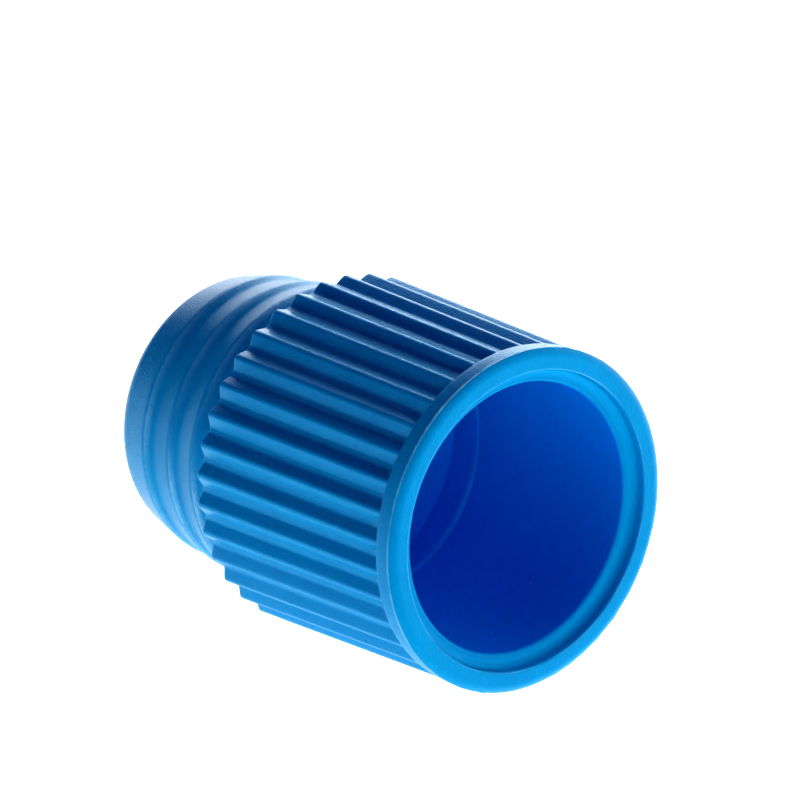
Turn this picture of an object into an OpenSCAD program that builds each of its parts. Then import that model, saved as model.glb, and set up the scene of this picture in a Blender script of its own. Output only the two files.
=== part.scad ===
// Push-in tube stopper: a ribbed grip sleeve over a hollow plug with three sealing lips.
// The stopper's axis is X. The mouth of the grip faces +X and the plug points to -X.
// The origin is on the axis, in the middle of the largest lip's land.

/* [Grip sleeve] */
// Outer diameter of the smooth rim at the mouth
rim_d = 17.5; // [16.8:0.1:18.4]
// Length from the tube seat to the mouth face
sleeve_l = 14.6; // [12:0.1:18]
// Width of the smooth rim along the axis
rim_w = 1.2; // [0.8:0.1:2]
// Rounding of the rim's outer edge
rim_round = 0.3; // [0.1:0.05:0.5]
// Diameter over the rib crests at the tube seat
seat_d = 18.04; // [17.6:0.02:18.4]
// Bore that takes the plug's body
sleeve_bore_d = 15.26; // [15:0.02:15.4]

/* [Ribs] */
// Number of grip ribs round the sleeve
rib_count = 36; // [24:1:40]
// Height of a rib above the groove floor
rib_h = 0.36; // [0.2:0.02:0.5]
// Width of a rib's crest
crest_w = 0.2; // [0.1:0.02:0.4]
// Width of the groove floor
floor_w = 0.3; // [0.1:0.05:0.5]
// Turn of the ribs about the axis
rib_phase = 5; // [0:0.5:10]

/* [Plug body] */
// Radial running clearance between the plug's body and the sleeve
clearance = 0.04; // [0.02:0.01:0.1]
// Depth of the plug's open end below the mouth face
recess = 0.7; // [0.4:0.1:1.2]
// Height of the raised outer edge of the plug's open end
edge_rise = 0.35; // [0.2:0.05:0.4]
// Diameter of the hollow inside the grip
hollow_d = 13.78; // [13:0.02:14]
// Distance from the tube seat to the end of the wide hollow
hollow_end = 1.1; // [0.9:0.1:2]
// Distance from the tube seat to the small step inside the hollow
step_at = 2.9; // [2.5:0.1:5]
// Diameter of the flange that seats in the sleeve
flange_d = 16; // [15.8:0.1:16.2]
// Thickness of the flange
flange_t = 0.5; // [0.4:0.1:0.8]

/* [Sealing lips] */
// Diameter of the lip nearest the grip
rear_lip_d = 16; // [15.6:0.05:16.2]
// Diameter of the middle lip
middle_lip_d = 15.3; // [15:0.05:15.6]
// Diameter of the lip nearest the nose
front_lip_d = 14.8; // [14.4:0.05:15]
// Distance from the tube seat to the back of the rear lip
lip_start = 1.65; // [1.4:0.05:2]
// Spacing of the lips along the axis
lip_pitch = 2.24; // [2:0.02:2.5]
// Depth of the shallow groove behind a lip
lip_h = 0.12; // [0.08:0.02:0.2]
// Length of the slope from a lip down into the groove behind it
lip_back = 0.6; // [0.3:0.05:0.8]

/* [Nose] */
// Length from the tube seat to the end of the nose
nose_l = 9.35; // [8.9:0.05:10]
// Radius of the nose's edge
nose_round = 1.6; // [0.8:0.1:2]
// Diameter over the nose's edge radius
nose_d = 13.98; // [13.6:0.02:14.4]
// Slope of the nose's side where it meets the edge radius, in degrees
nose_taper = 13; // [5:1:20]
// Diameter of the hollow inside the plug
core_d = 12.1; // [11:0.1:12.4]
// Wall at the middle of the nose
nose_wall = 1; // [0.8:0.1:1.5]

/* [Hidden] */
$fn = 96;

// Sleeve
rim_r = rim_d / 2;
seat_r = seat_d / 2;
collar_x = sleeve_l - rim_w;
// The crests meet the rim just under its surface.
crest_end_r = rim_r - 0.03;
draft = atan((seat_r - crest_end_r) / collar_x);
rib_pitch = PI * (seat_r + crest_end_r) / rib_count;
groove_top_w = rib_pitch - crest_w;
flank_slope = (groove_top_w - floor_w) / 2 / rib_h;
// A cutter stands this far past the surface it cuts.
over = 0.4;
// The bore's edges and the sleeve's seat edge are broken by this much.
edge = 0.1;

// Plug
body_r = sleeve_bore_d / 2 - clearance;
plug_top = sleeve_l - recess;
hollow_r = hollow_d / 2;
core_r = core_d / 2;
flange_r = flange_d / 2;
// Gap behind the flange, so that it seats flush with the sleeve's end.
flange_gap = 0.05;
lip_land = 0.25;
// Axial place of the tube seat
seat_x = lip_start + lip_land / 2;
lip_radii = [front_lip_d / 2, middle_lip_d / 2, rear_lip_d / 2];
lip_count = len(lip_radii);
// The hollow narrows by this much to its end, which frees it from its mould core.
core_taper = 0.15;
dome_h = 2;
dome_r = core_r - core_taper;
dome_x = nose_wall + dome_h - nose_l;
dome_sphere_r = (dome_r * dome_r + dome_h * dome_h) / 2 / dome_h;
bore_lip_round = 0.2;
// Width left at the top of the raised edge
edge_tip = 0.06;
// Height of the small step inside the hollow
step_h = 0.06;

// Points along an arc about [cr, cx], from angle a to angle b, in steps steps
function arc(cr, cx, r, a, b, steps) =
    [for (i = [0 : steps]) [cr + r * cos(a + (b - a) * i / steps), cx + r * sin(a + (b - a) * i / steps)]];

// Place of the back of lip i along the axis from the tube seat, counted from the nose
function lip_x(i) = -lip_start - lip_pitch * (lip_count - 1 - i);

// A lip: its land and the short slope down into the groove behind it
function lip(i) = [
    [lip_radii[i], lip_x(i) - lip_land],
    [lip_radii[i], lip_x(i)],
    [lip_radii[i] - lip_h, lip_x(i) + lip_back],
];

// Turns an outline of [radius, axial place from the tube seat] about the X axis
module turned(points) {
    rotate([0, 90, 0])
        rotate_extrude()
            polygon(points);
}

// One groove between two ribs, along the top of the sleeve
module groove() {
    wide = groove_top_w / 2 + flank_slope * over;
    translate([-over, 0, seat_r + over * tan(draft)])
        rotate([0, draft, 0])
            rotate([90, 0, 90])
                linear_extrude(height = (collar_x + over) / cos(draft))
                    polygon([[-floor_w / 2, -rib_h], [floor_w / 2, -rib_h], [wide, over], [-wide, over]]);
}

// Hollow grip: smooth rim at the mouth, ribs from the rim to the tube seat
module grip_sleeve() {
    bore_r = sleeve_bore_d / 2;
    pocket_r = flange_r + clearance;
    pocket_x = flange_t + flange_gap;
    outline = concat(
        [[pocket_r, 0], [seat_r - edge, 0], [seat_r, edge], [crest_end_r, collar_x], [rim_r, collar_x]],
        arc(rim_r - rim_round, sleeve_l - rim_round, rim_round, 0, 90, 6),
        [[bore_r + edge, sleeve_l], [bore_r, sleeve_l - edge], [bore_r, pocket_x], [pocket_r, pocket_x]]
    );
    color("#0f86c8")
        translate([seat_x, 0, 0])
            difference() {
                turned(outline);
                for (i = [0 : rib_count - 1])
                    rotate([rib_phase + 360 / rib_count * (i + 0.5), 0, 0])
                        groove();
            }
}

// Hollow plug: the body inside the sleeve, the seating flange, the sealing lips and the nose
module sealing_plug() {
    outside = concat(
        [[0, -nose_l]],
        arc(nose_d / 2 - nose_round, nose_round - nose_l, nose_round, -90, -nose_taper, 8),
        [for (i = [0 : lip_count - 1]) each lip(i)],
        [[rear_lip_d / 2 - lip_h, 0], [flange_r, 0], [flange_r, flange_t], [body_r, flange_t]],
        [[body_r, plug_top + edge_rise]],
        arc(body_r - edge_tip - edge_rise, plug_top + edge_rise, edge_rise, 0, -90, 6)
    );
    inside = concat(
        arc(hollow_r + bore_lip_round, plug_top - bore_lip_round, bore_lip_round, 90, 180, 4),
        [[hollow_r, step_at], [hollow_r - step_h, step_at], [hollow_r - step_h, hollow_end]],
        [[core_r, hollow_end - (hollow_r - step_h - core_r)]],
        [for (i = [0 : 12])
            let (a = asin(dome_r / dome_sphere_r) * (1 - i / 12))
            [dome_sphere_r * sin(a), dome_x - dome_h + dome_sphere_r * (1 - cos(a))]]
    );
    color("#1f95d2")
        translate([seat_x, 0, 0])
            turned(concat(outside, inside));
}

grip_sleeve();
sealing_plug();
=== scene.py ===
import math

import bpy
from mathutils import Matrix, Vector, noise


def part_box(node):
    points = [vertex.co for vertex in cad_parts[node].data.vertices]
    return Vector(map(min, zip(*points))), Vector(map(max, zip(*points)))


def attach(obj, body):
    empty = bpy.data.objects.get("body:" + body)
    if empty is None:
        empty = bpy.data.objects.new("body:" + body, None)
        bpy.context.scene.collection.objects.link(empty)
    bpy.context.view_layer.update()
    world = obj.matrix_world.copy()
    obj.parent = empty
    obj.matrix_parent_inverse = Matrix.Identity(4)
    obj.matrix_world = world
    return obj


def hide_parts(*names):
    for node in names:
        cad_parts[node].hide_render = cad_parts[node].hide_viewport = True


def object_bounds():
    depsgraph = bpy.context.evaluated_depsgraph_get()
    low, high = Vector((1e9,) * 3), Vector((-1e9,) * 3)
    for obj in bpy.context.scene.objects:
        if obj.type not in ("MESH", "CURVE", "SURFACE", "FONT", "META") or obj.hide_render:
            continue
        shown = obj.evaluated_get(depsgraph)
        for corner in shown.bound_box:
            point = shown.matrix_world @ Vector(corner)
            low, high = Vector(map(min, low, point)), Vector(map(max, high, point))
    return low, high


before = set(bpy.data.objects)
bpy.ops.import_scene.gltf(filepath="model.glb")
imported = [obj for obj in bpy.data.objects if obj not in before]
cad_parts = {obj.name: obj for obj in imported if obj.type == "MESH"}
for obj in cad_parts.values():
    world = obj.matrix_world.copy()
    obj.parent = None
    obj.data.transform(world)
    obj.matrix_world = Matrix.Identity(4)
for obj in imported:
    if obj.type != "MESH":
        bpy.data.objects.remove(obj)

# A push-in tube stopper: a ribbed grip sleeve over a hollow plug with three sealing lips.
# The axis is X. The open mouth faces +X, and the plug's nose -X.

CAD_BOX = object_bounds()
MM = 0.001

# ---------------------------------------------------------------- sizes, in metres
SLEEVE_LOW, SLEEVE_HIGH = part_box("grip_sleeve")
PLUG_LOW, PLUG_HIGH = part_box("sealing_plug")
SEAT_X = SLEEVE_LOW[0]
MOUTH_X = SLEEVE_HIGH[0]
NOSE_X = PLUG_LOW[0]
LEDGE_X = PLUG_HIGH[0]

RIM_R = 8.75 * MM
RIM_WIDTH = 1.2 * MM
RIM_ROUND = 0.6 * MM
# Degrees along the rim's rounding: where the parting line is, and how far the burr reaches on
RIM_ROUND_START = 33
BURR_TURN = 4
# The collar ends this far behind the parting line, under the burr
BURR_ROOT = 0.05 * MM
BURR_HEIGHT = 0.05 * MM
# Rings of the burr: distance from the parting line in mm, and wear
BURR_RINGS = ((-0.08, 0.2), (-0.05, 1.0), (0.0, 1.0), (0.03, 1.0))
INNER_ROUND = 0.14 * MM
COLLAR_R = 8.715 * MM
CREST_SEAT_R = 9.01 * MM
CREST_RIM_R = 8.70 * MM
BORE_R = 7.63 * MM
POCKET_R = 8.04 * MM
POCKET_DEPTH = 0.55 * MM
SEAT_FACE_RADII = (POCKET_R, 8.2 * MM, 8.38 * MM)
SEAT_EDGE = 0.09 * MM

RIB_COUNT = 36
RIB_HEIGHT = 0.36 * MM
RIB_PHASE = math.radians(5.0)
RIB_STEPS = 24
# The ribs run out over this length before the rim
RIB_FADE = 0.1 * MM
FADE_STEPS = 5
# Shares of the way from a rib's crest to the middle of the groove
CREST_SHARE = 0.12
FLANK_SHARE = 0.68
FLANK_ROUND = 0.09
CORNER_STEPS = 6

BODY_R = 7.59 * MM
EDGE_RISE = 0.35 * MM
# Near its open end the plug all but closes the gap to the sleeve
SEAM_GAP = 0.012 * MM
SEAM_LENGTH = 1.0 * MM
FLOOR_ROUND = 0.18 * MM
HOLLOW_R = 6.89 * MM
STEP_X = SEAT_X + 2.9 * MM
STEP_HEIGHT = 0.06 * MM
HOLLOW_END = SEAT_X + 1.1 * MM
CORE_R = 6.05 * MM
CORE_END_R = 5.9 * MM
FLANGE_R = 8.0 * MM
FLANGE_T = 0.5 * MM
FLANGE_BEVEL = 0.05 * MM
LIP_RADII = (7.4 * MM, 7.65 * MM, 8.0 * MM)
LIP_START = 1.65 * MM
LIP_PITCH = 2.24 * MM
LIP_HEIGHT = 0.12 * MM
LIP_BACK = 0.6 * MM
LIP_LAND = 0.25 * MM
LIP_RISE = 0.01 * MM
# How far the rounding reaches from the lip's front corner, its crisp edge and its groove
LIP_FRONT_ROUND = 0.15 * MM
LIP_EDGE_ROUND = 0.03 * MM
LIP_GROOVE_ROUND = 0.22 * MM
NOSE_R = 6.99 * MM
NOSE_ROUND = 1.6 * MM
NOSE_TAPER = 13
NOSE_FACE_RADII = (1.5 * MM, 3.0 * MM, 4.5 * MM, NOSE_R - NOSE_ROUND - 0.05 * MM)
NOSE_WALL = 1.0 * MM
DOME_HEIGHT = 2.0 * MM
DOME_STEPS = 14
PLUG_STEPS = 360

SHARP_ANGLE = math.radians(38)
BURR_SCALE = 14.0
PATCH_BASE = 0.65
PATCH_SWING = 1.1

# Values of "inside", which picks the blue of the plastic as painted light and shade: a lighter ledge, and a
# deeper hollow that lightens towards its step. It is 0 outside.
LEDGE = -1.0
HOLLOW = 0.5
HOLLOW_END_RING = 1.0


# ---------------------------------------------------------------- mesh building
def arc(cx, cr, radius, start, end, steps):
    """Points (x, r) along an arc about (cx, cr). At 0 degrees the point is outward, at 90 towards +X."""
    points = []
    for i in range(steps + 1):
        a = math.radians(start + (end - start) * i / steps)
        points.append((cx + radius * math.sin(a), cr + radius * math.cos(a)))
    return points


def line(a, b, steps):
    """Points (x, r) from a to b, without a itself."""
    return [
        (a[0] + (b[0] - a[0]) * i / steps, a[1] + (b[1] - a[1]) * i / steps)
        for i in range(1, steps + 1)
    ]


def rounded(corners):
    """Points (x, r) along corners (x, r, cut), each rounded from cut before it to cut after it."""
    points = [corners[0][:2]]
    for before, (x, r, cut), after in zip(corners, corners[1:], corners[2:]):
        ends = []
        for other in (before, after):
            reach = math.hypot(other[0] - x, other[1] - r)
            ends.append((x + (other[0] - x) * cut / reach, r + (other[1] - r) * cut / reach))
        for i in range(CORNER_STEPS + 1):
            t = i / CORNER_STEPS
            weights = ((1 - t) ** 2, 2 * t * (1 - t), t**2)
            spots = (ends[0], (x, r), ends[1])
            points.append(tuple(sum(w * spot[k] for w, spot in zip(weights, spots)) for k in (0, 1)))
    points.append(corners[-1][:2])
    return points


def soft_step(s, round_off):
    """0 below 0 and 1 above 1, straight between, with both corners rounded."""
    e = round_off
    if s <= -e:
        return 0.0
    if s < e:
        return (s + e) ** 2 / (4 * e)
    if s <= 1 - e:
        return s
    if s < 1 + e:
        return 1 - (1 + e - s) ** 2 / (4 * e)
    return 1.0


def rib_drop(angle):
    """How far the surface lies below the crests at this angle, from 0 on a crest to 1 on a groove floor."""
    u = ((angle - RIB_PHASE) * RIB_COUNT / (2 * math.pi)) % 1.0
    from_crest = min(u, 1 - u) * 2
    return soft_step((from_crest - CREST_SHARE) / FLANK_SHARE, FLANK_ROUND)


def build(name, rings, steps, closed):
    """A mesh turned about X. A ring is (x, radius at an angle, paleness at an angle, inside).

    The paleness and inside are kept on the mesh for the material: how pale and chalky the plastic is,
    from worn edges and from painted highlights, and which painted light and shade of blue it has.
    """
    verts, faces, wear_and_highlight, inside = [], [], [], []
    angles = [2 * math.pi * j / steps for j in range(steps)]
    for x, radius_at, wear_and_highlight_at, ring_inside in rings:
        for a in angles:
            r = radius_at(a)
            verts.append((x, -r * math.sin(a), r * math.cos(a)))
            wear_and_highlight.append(wear_and_highlight_at(a))
            inside.append(ring_inside)
    count = len(rings)
    for i in range(count if closed else count - 1):
        k = (i + 1) % count
        for j in range(steps):
            n = (j + 1) % steps
            faces.append((i * steps + j, i * steps + n, k * steps + n, k * steps + j))
    if not closed:
        for i, flip in ((0, False), (count - 1, True)):
            verts.append((rings[i][0], 0.0, 0.0))
            wear_and_highlight.append(0.0)
            inside.append(rings[i][3])
            pole = len(verts) - 1
            for j in range(steps):
                n = (j + 1) % steps
                tri = (pole, i * steps + n, i * steps + j)
                faces.append(tri[::-1] if flip else tri)
    mesh = bpy.data.meshes.new(name)
    mesh.from_pydata(verts, [], faces)
    mesh.polygons.foreach_set("use_smooth", [True] * len(mesh.polygons))
    mesh.set_sharp_from_angle(angle=SHARP_ANGLE)
    for layer_name, values in (("wear_and_highlight", wear_and_highlight), ("inside", inside)):
        layer = mesh.attributes.new(layer_name, "FLOAT", "POINT")
        layer.data.foreach_set("value", values)
    mesh.update()
    obj = bpy.data.objects.new(name, mesh)
    bpy.context.scene.collection.objects.link(obj)
    return obj


def ragged(a, seed, scale=9.0):
    """A smooth noise round the axis, about -1 to 1."""
    return noise.noise(Vector((math.cos(a) * scale, math.sin(a) * scale, seed)))


def ring(x, r, rib=0.0, rough=0.0, seed=0.0, wear_and_highlight=0.0, patch_scale=9.0, inside=0.0):
    """A ring at x with radius r. rib is the depth of its grooves, rough the height of its burr."""

    def radius_at(a):
        drop = rib * rib_drop(a) if rib else 0.0
        return r - drop + (rough * max(0.0, ragged(a, seed, BURR_SCALE)) if rough else 0.0)

    def wear_and_highlight_at(a):
        patches = PATCH_BASE + PATCH_SWING * ragged(a, seed + 3.1, patch_scale)
        return wear_and_highlight * max(0.0, patches) if wear_and_highlight else 0.0

    return (x, radius_at, wear_and_highlight_at, inside)


def make_sleeve():
    """Ribbed grip with a smooth rim. Its outline is one closed loop."""
    collar_x = MOUTH_X - RIM_WIDTH
    rings = []
    for r in SEAT_FACE_RADII:
        rings.append(ring(SEAT_X, r))
    for x, r in arc(SEAT_X + SEAT_EDGE, CREST_SEAT_R - SEAT_EDGE, SEAT_EDGE, -90, 0, 4):
        wear_and_highlight = 0.8 if x < SEAT_X + SEAT_EDGE else 0.0
        rings.append(ring(x, r, RIB_HEIGHT, wear_and_highlight=wear_and_highlight, seed=1.0))
    for x, r in line((SEAT_X + SEAT_EDGE, CREST_SEAT_R), (collar_x - RIB_FADE, CREST_RIM_R), 16):
        rings.append(ring(x, r, RIB_HEIGHT))
    for i in range(1, FADE_STEPS + 1):
        rise = math.radians(90 * i / FADE_STEPS)
        x = collar_x - RIB_FADE + RIB_FADE * math.sin(rise)
        depth = RIB_HEIGHT * math.cos(rise) if i < FADE_STEPS else 0.0
        rings.append(ring(x, CREST_RIM_R, depth))
    start = math.radians(RIM_ROUND_START)
    parting_x = MOUTH_X - RIM_ROUND * (1 - math.sin(start))
    for x, r in line((collar_x, COLLAR_R), (parting_x - BURR_ROOT, COLLAR_R), 6):
        rings.append(ring(x, r))
    for shift, wear_and_highlight in BURR_RINGS:
        x = parting_x + shift * MM
        rings.append(ring(x, RIM_R, rough=BURR_HEIGHT, seed=5.0, wear_and_highlight=wear_and_highlight, patch_scale=3.0))
    centre_r = RIM_R - RIM_ROUND * math.cos(start)
    for x, r in arc(MOUTH_X - RIM_ROUND, centre_r, RIM_ROUND, RIM_ROUND_START + BURR_TURN, 90, 12):
        rings.append(ring(x, r))
    for x, r in line((MOUTH_X, centre_r), (MOUTH_X, BORE_R + INNER_ROUND), 3):
        rings.append(ring(x, r))
    # A painted highlight: two rings of the rim's inner rounding are drawn pale.
    inner_edge = arc(MOUTH_X - INNER_ROUND, BORE_R + INNER_ROUND, INNER_ROUND, 90, 180, 8)
    for i, (x, r) in enumerate(inner_edge):
        rings.append(ring(x, r, wear_and_highlight=0.35 if 2 <= i <= 3 else 0.0, seed=7.0, patch_scale=4.0))
    # Painted light: the sleeve's bore above the plug's ledge is painted a lighter blue.
    for x, r in line((MOUTH_X - INNER_ROUND, BORE_R), (LEDGE_X - EDGE_RISE, BORE_R), 4):
        rings.append(ring(x, r, inside=LEDGE))
    for x, r in line((LEDGE_X - 2 * EDGE_RISE, BORE_R), (SEAT_X + POCKET_DEPTH, BORE_R), 10):
        rings.append(ring(x, r))
    for x, r in line((SEAT_X + POCKET_DEPTH, BORE_R), (SEAT_X + POCKET_DEPTH, POCKET_R), 3):
        rings.append(ring(x, r))
    rings.append(ring(SEAT_X + POCKET_DEPTH / 2, POCKET_R))
    return build("sleeve", rings, RIB_COUNT * RIB_STEPS, closed=True)


def lip_rings():
    """The lips from the nose to the neck. Behind a lip's crisp edge is a shallow rounded groove."""
    corners = [(NOSE_X + NOSE_ROUND, NOSE_R, 0.0)]
    for i, top in enumerate(LIP_RADII):
        back_x = SEAT_X - LIP_START - LIP_PITCH * (len(LIP_RADII) - 1 - i)
        corners.append((back_x - LIP_LAND, top - LIP_RISE, LIP_FRONT_ROUND))
        corners.append((back_x, top, LIP_EDGE_ROUND))
        corners.append((back_x + LIP_BACK, top - LIP_HEIGHT, LIP_GROOVE_ROUND))
    corners.append((SEAT_X, LIP_RADII[-1] - LIP_HEIGHT, 0.0))
    edges = [corner[0] for corner in corners[2::3]]
    rings = []
    for x, r in rounded(corners)[1:]:
        # Paler along each lip's crisp edge.
        near = min(abs(x - edge) for edge in edges) < LIP_EDGE_ROUND
        rings.append(ring(x, r, wear_and_highlight=0.65 if near else 0.0, seed=round(r / MM), patch_scale=2.0))
    return rings


def make_plug():
    """Hollow plug with three lips. Its outline runs from the nose, over the outside, into the hollow."""
    rings = [ring(NOSE_X, r) for r in NOSE_FACE_RADII]
    for x, r in arc(NOSE_X + NOSE_ROUND, NOSE_R - NOSE_ROUND, NOSE_ROUND, -90, -NOSE_TAPER, 16):
        rings.append(ring(x, r))
    rings += lip_rings()
    rings.append(ring(SEAT_X, FLANGE_R - FLANGE_BEVEL))
    rings.append(ring(SEAT_X + FLANGE_BEVEL, FLANGE_R))
    rings.append(ring(SEAT_X + FLANGE_T, FLANGE_R))
    rings.append(ring(SEAT_X + FLANGE_T, BODY_R))
    seam_r = BORE_R - SEAM_GAP
    for x, r in line((SEAT_X + FLANGE_T, BODY_R), (LEDGE_X - SEAM_LENGTH, BODY_R), 20):
        rings.append(ring(x, r))
    rings.append(ring(LEDGE_X - SEAM_LENGTH / 2, seam_r))
    rings.append(ring(LEDGE_X, seam_r))
    floor_x = LEDGE_X - EDGE_RISE
    # Painted light: the ledge's rounded edge is painted a lighter blue.
    for x, r in arc(LEDGE_X, seam_r - EDGE_RISE, EDGE_RISE, 0, -90, 10):
        rings.append(ring(x, r, inside=LEDGE))
    # Painted shade: past the ledge the hollow is painted a deeper blue, painted lighter again towards the
    # step.
    floor_edge = arc(floor_x - FLOOR_ROUND, HOLLOW_R + FLOOR_ROUND, FLOOR_ROUND, 90, 180, 8)
    for x, r in floor_edge:
        rings.append(ring(x, r, inside=HOLLOW * (floor_x - x) / FLOOR_ROUND))
    # The small step in the hollow is a rounded chamfer, whose edge carries a painted highlight.
    step_r = HOLLOW_R - STEP_HEIGHT
    step = [
        (STEP_X + 0.16 * MM, HOLLOW_R, 0.0),
        (STEP_X + 0.10 * MM, HOLLOW_R, 0.04 * MM),
        (STEP_X - 0.04 * MM, step_r, 0.02 * MM),
        (STEP_X - 0.08 * MM, step_r, 0.0),
    ]
    for x, r in line((floor_x - FLOOR_ROUND, HOLLOW_R), step[0][:2], 24):
        depth = (floor_x - x) / (floor_x - STEP_X)
        rings.append(ring(x, r, inside=HOLLOW + (HOLLOW_END_RING - HOLLOW) * depth))
    for x, r in rounded(step)[1:-1]:
        rings.append(ring(x, r, inside=HOLLOW_END_RING, wear_and_highlight=0.9, seed=23.0, patch_scale=1.5))
    for x, r in line((STEP_X - 0.09 * MM, step_r), (HOLLOW_END, step_r), 6):
        rings.append(ring(x, r, inside=HOLLOW_END_RING))
    cone_x = HOLLOW_END - (step_r - CORE_R)
    for x, r in line((HOLLOW_END, step_r), (cone_x, CORE_R), 5):
        rings.append(ring(x, r, inside=HOLLOW_END_RING))
    dome_x = NOSE_X + NOSE_WALL + DOME_HEIGHT
    # The core and the dome have the painted shade of the hollow.
    for x, r in line((cone_x, CORE_R), (dome_x, CORE_END_R), 16):
        rings.append(ring(x, r, inside=HOLLOW))
    sphere = (CORE_END_R**2 + DOME_HEIGHT**2) / (2 * DOME_HEIGHT)
    start = math.asin(CORE_END_R / sphere)
    for i in range(1, DOME_STEPS):
        a = start * (1 - i / DOME_STEPS)
        x = dome_x - DOME_HEIGHT + sphere * (1 - math.cos(a))
        rings.append(ring(x, sphere * math.sin(a), inside=HOLLOW))
    return build("plug", rings, PLUG_STEPS, closed=False)


# ---------------------------------------------------------------- materials
# The real plastic is presumably one colour. These blues are painted light and shade in its thin wall: painted
# shade deepens the hollow, painted light brightens it towards the step and brightens the ledge.
PAINTED_HOLLOW_SHADE = (0.0, 0.28, 0.76)
PAINTED_DEEP_HOLLOW_LIGHT = (0.0, 0.44, 0.96)
PAINTED_LEDGE_GLOW = (0.0, 0.42, 0.74)
# Pale colour of worn burr and seat edges, of the lips' crisp edges, and of a painted highlight on the rim's
# inner edge.
CHALK_AND_HIGHLIGHT = (0.40, 0.74, 0.90)
# A painted highlight on the edge of the step in the hollow.
PAINTED_STEP_HIGHLIGHT = (0.0, 0.80, 1.0)
DUST = (0.25, 0.50, 0.70)
BUMP_DISTANCE = 0.00004


class Nodes:
    """Short calls to make and join shader nodes."""

    def __init__(self, name):
        self.material = bpy.data.materials.new(name)
        self.material.use_nodes = True
        self.tree = self.material.node_tree
        self.tree.nodes.clear()
        self.out = self.tree.nodes.new("ShaderNodeOutputMaterial")

    def add(self, kind, inputs=None, **settings):
        node = self.tree.nodes.new(kind)
        for key, value in settings.items():
            setattr(node, key, value)
        for key, value in (inputs or {}).items():
            if isinstance(value, bpy.types.NodeSocket):
                self.tree.links.new(value, node.inputs[key])
            else:
                node.inputs[key].default_value = value
        return node

    def math(self, operation, a, b=0.0, clamp=False):
        return self.add("ShaderNodeMath", {0: a, 1: b}, operation=operation, use_clamp=clamp).outputs[0]

    def noise(self, vector, scale, detail=3.0, roughness=0.55):
        inputs = {"Vector": vector, "Scale": scale, "Detail": detail, "Roughness": roughness}
        return self.add("ShaderNodeTexNoise", inputs).outputs["Fac"]

    def ramp(self, value, low, high):
        inputs = {"Value": value, "From Min": low, "From Max": high}
        return self.add("ShaderNodeMapRange", inputs, interpolation_type="SMOOTHSTEP").outputs["Result"]

    def blend(self, factor, a, b):
        node = self.add("ShaderNodeMix", {0: factor}, data_type="RGBA", clamp_factor=True)
        for key, value in ((6, a), (7, b)):
            if isinstance(value, bpy.types.NodeSocket):
                self.tree.links.new(value, node.inputs[key])
            else:
                node.inputs[key].default_value = (*value, 1.0)
        return node.outputs[2]


def polyethylene(name, deep, pale, rough, grain, gloss):
    """Moulded satin polyethylene: slow tint changes, flow streaks, dust, pale edges that are partly worn and
    partly painted highlight, painted light and shade in the hollow and on the ledge, and a fine grain.
    """
    n = Nodes(name)
    place = n.add("ShaderNodeTexCoord").outputs["Object"]
    along = n.add("ShaderNodeMapping", {"Vector": place, "Scale": (0.12, 1.0, 1.0)}).outputs[0]
    cloud = n.noise(place, 260.0, 2.0)
    streak = n.noise(along, 1500.0, 3.0)
    tint = n.math("ADD", n.math("MULTIPLY", cloud, 0.65), n.math("MULTIPLY", streak, 0.35))
    colour = n.blend(n.ramp(tint, 0.36, 0.64), deep, pale)
    inside = n.add("ShaderNodeAttribute", attribute_name="inside").outputs["Fac"]
    # Painted shade and light: the hollow is painted a deeper blue that lightens towards its step, and the
    # ledge a lighter blue.
    colour = n.blend(n.ramp(inside, 0.0, HOLLOW), colour, PAINTED_HOLLOW_SHADE)
    colour = n.blend(n.ramp(inside, HOLLOW, HOLLOW_END_RING), colour, PAINTED_DEEP_HOLLOW_LIGHT)
    colour = n.blend(n.ramp(inside, 0.0, LEDGE), colour, PAINTED_LEDGE_GLOW)

    # Pale marks: worn edges, and painted highlights on the rim's inner edge and on the step in the hollow.
    worn_and_highlit = n.add("ShaderNodeAttribute", attribute_name="wear_and_highlight").outputs["Fac"]
    chips = n.ramp(n.noise(place, 4200.0, 2.0), 0.36, 0.56)
    patchy = n.math("ADD", n.math("MULTIPLY", chips, 0.35), 0.65)
    pale_edge = n.math("MULTIPLY", worn_and_highlit, patchy, clamp=True)
    # In the hollow the pale colour is a bright cyan painted highlight.
    chalk_and_highlight = n.blend(n.ramp(inside, 0.0, 0.3), CHALK_AND_HIGHLIGHT, PAINTED_STEP_HIGHLIGHT)
    colour = n.blend(n.math("MULTIPLY", pale_edge, 0.85), colour, chalk_and_highlight)

    cells = n.add("ShaderNodeTexVoronoi", {"Vector": place, "Scale": 330.0, "Randomness": 1.0})
    speck = n.math("LESS_THAN", cells.outputs["Distance"], 0.03)
    colour = n.blend(n.math("MULTIPLY", speck, 0.5), colour, DUST)

    fine = n.noise(place, 9000.0, 2.0, 0.6)
    scuff = n.noise(along, 4200.0, 4.0, 0.7)
    roughness = n.math("ADD", rough - 0.05, n.math("MULTIPLY", scuff, 0.1))
    roughness = n.math("ADD", roughness, n.math("MULTIPLY", pale_edge, 0.15), clamp=True)

    height = n.math("ADD", n.math("MULTIPLY", fine, 1.4), n.math("MULTIPLY", scuff, 0.25))
    bump = n.add("ShaderNodeBump", {"Height": height, "Strength": grain, "Distance": BUMP_DISTANCE})
    shader = n.add(
        "ShaderNodeBsdfPrincipled",
        {
            "Base Color": colour,
            "Roughness": roughness,
            "IOR": 1.51,
            "Normal": bump.outputs[0],
            "Specular IOR Level": gloss,
            "Specular Tint": (0.0, 0.35, 0.9, 1.0),
            "Subsurface Weight": 0.12,
            "Subsurface Radius": (0.25, 0.8, 1.4),
            "Subsurface Scale": 0.0005,
        },
    )
    n.tree.links.new(shader.outputs[0], n.out.inputs["Surface"])
    return n.material


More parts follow.
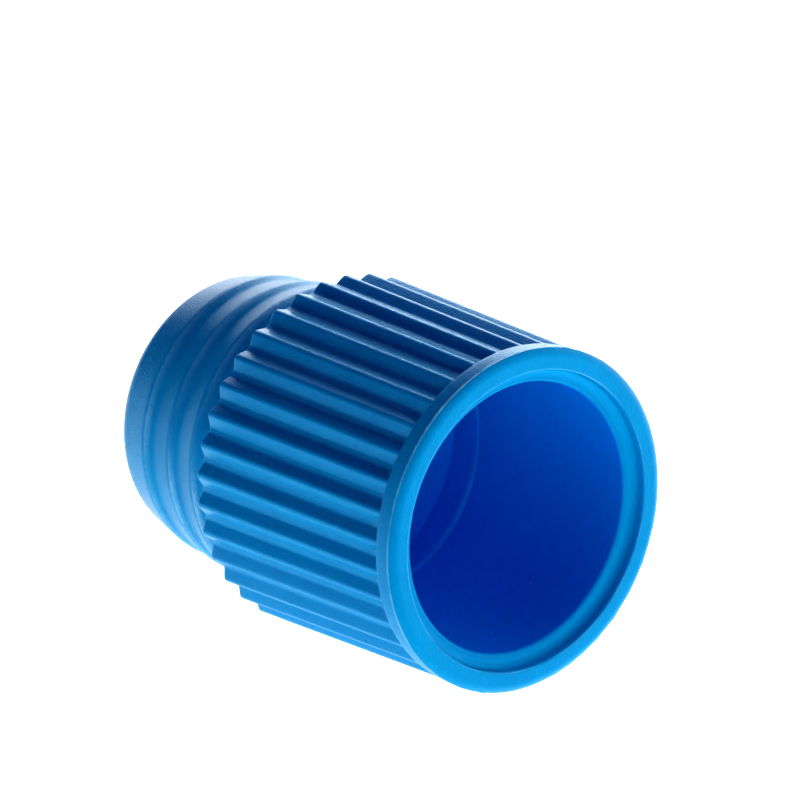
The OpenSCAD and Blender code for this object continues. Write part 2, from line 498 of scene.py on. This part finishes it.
def white_floor():
    """Pale, evenly lit table top."""
    n = Nodes("table")
    place = n.add("ShaderNodeTexCoord").outputs["Object"]
    mottle = n.ramp(n.noise(place, 30.0, 2.0), 0.3, 0.7)
    shader = n.add(
        "ShaderNodeBsdfPrincipled",
        {
            "Base Color": n.blend(mottle, (0.80, 0.80, 0.80), (0.82, 0.82, 0.82)),
            "Roughness": 0.9,
            "Emission Color": (1.0, 1.0, 1.0, 1.0),
            "Emission Strength": 0.85,
        },
    )
    n.tree.links.new(shader.outputs[0], n.out.inputs["Surface"])
    return n.material


# ---------------------------------------------------------------- the object
sleeve = make_sleeve()
sleeve_blues = ((0.0, 0.345, 0.63), (0.0, 0.375, 0.66))
sleeve.data.materials.append(polyethylene("sleeve_blue", *sleeve_blues, rough=0.29, grain=0.5, gloss=0.34))
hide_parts("grip_sleeve")
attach(sleeve, "grip")

plug = make_plug()
plug_blues = ((0.0, 0.33, 0.61), (0.0, 0.36, 0.64))
plug.data.materials.append(polyethylene("plug_blue", *plug_blues, rough=0.25, grain=0.5, gloss=0.14))
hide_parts("sealing_plug")
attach(plug, "plug")

# ---------------------------------------------------------------- table, light and camera
FLOOR_SIZE = 6.0
floor_z = min(CAD_BOX[0][2], SLEEVE_LOW[2])
floor_mesh = bpy.data.meshes.new("table_top")
half = FLOOR_SIZE / 2
corners = [(-half, -half, floor_z), (half, -half, floor_z), (half, half, floor_z), (-half, half, floor_z)]
floor_mesh.from_pydata(corners, [], [(0, 1, 2, 3)])
floor = bpy.data.objects.new("table_top", floor_mesh)
floor.data.materials.append(white_floor())
bpy.context.scene.collection.objects.link(floor)


STUDIO_BRIGHT = (1.7, 1.7, 1.7)
# Each lobe: its direction, the dot product where it starts and is full, and its colour. They are
# the ceiling, the side the mouth faces, the near side of the nose, and the camera's side.
STUDIO_LOBES = (
    ((0.0, 0.0, 1.0), 0.64, 0.92, (0.05, 0.12, 0.22)),
    ((0.85, 0.5, 0.1), 0.1, 0.8, (0.85, 0.92, 1.0)),
    ((-0.8, -0.55, 0.25), 0.40, 0.54, (0.0, 0.02, 0.08)),
    ((0.0, -0.9, 0.43), 0.0, 0.28, (0.0, 0.02, 0.12)),
)


def studio_world():
    """A white studio with darker lobes, which the glossy plastic mirrors."""
    world = bpy.data.worlds.new("studio")
    world.use_nodes = True
    tree = world.node_tree
    place = tree.nodes.new("ShaderNodeTexCoord").outputs["Generated"]
    background = tree.nodes["Background"]
    colour = None
    for direction, start, full, dark in STUDIO_LOBES:
        dot = tree.nodes.new("ShaderNodeVectorMath")
        dot.operation = "DOT_PRODUCT"
        tree.links.new(place, dot.inputs[0])
        dot.inputs[1].default_value = Vector(direction).normalized()
        fade = tree.nodes.new("ShaderNodeMapRange")
        fade.interpolation_type = "SMOOTHSTEP"
        tree.links.new(dot.outputs["Value"], fade.inputs["Value"])
        fade.inputs["From Min"].default_value = start
        fade.inputs["From Max"].default_value = full
        mix = tree.nodes.new("ShaderNodeMix")
        mix.data_type = "RGBA"
        tree.links.new(fade.outputs["Result"], mix.inputs[0])
        mix.inputs[6].default_value = (*STUDIO_BRIGHT, 1.0)
        if colour:
            tree.links.new(colour, mix.inputs[6])
        mix.inputs[7].default_value = (*dark, 1.0)
        colour = mix.outputs[2]
    tree.links.new(colour, background.inputs["Color"])
    bpy.context.scene.world = world


studio_world()


def softbox(name, place, aim, size, power):
    light = bpy.data.lights.new(name, "AREA")
    light.shape = "RECTANGLE"
    light.size, light.size_y = size
    light.energy = power
    obj = bpy.data.objects.new(name, light)
    obj.location = place
    obj.rotation_euler = (Vector(aim) - Vector(place)).to_track_quat("-Z", "Y").to_euler()
    bpy.context.scene.collection.objects.link(obj)


softbox("back", (-0.45, 0.40, 0.20), (0.0, 0.0, 0.0), (0.6, 0.3), 1.0)

AZIMUTH = math.radians(49.74)
ELEVATION = math.radians(18.67)
DISTANCE = 0.4482
AIM = Vector((SEAT_X + 0.00335, 0.00134, 0.0031))
# The whole view is turned about the stopper's axis, so that the stopper rests on two ribs.
VIEW_TURN = Matrix.Rotation(math.radians(-1.2), 4, "X")
back = Vector(
    (
        math.sin(AZIMUTH) * math.cos(ELEVATION),
        -math.cos(AZIMUTH) * math.cos(ELEVATION),
        math.sin(ELEVATION),
    )
)
camera = bpy.data.objects.new("camera", bpy.data.cameras.new("camera"))
camera.data.lens = 405.0
camera.data.sensor_width = 36.0
camera.data.clip_start = 0.01
camera.data.clip_end = 20.0
look = (-back).to_track_quat("-Z", "Y").to_matrix().to_4x4()
camera.matrix_world = VIEW_TURN @ Matrix.Translation(AIM + back * DISTANCE) @ look
bpy.context.scene.collection.objects.link(camera)
bpy.context.scene.camera = camera
bpy.context.scene.view_settings.view_transform = "Standard"
bpy.context.scene.view_settings.look = "High Contrast"
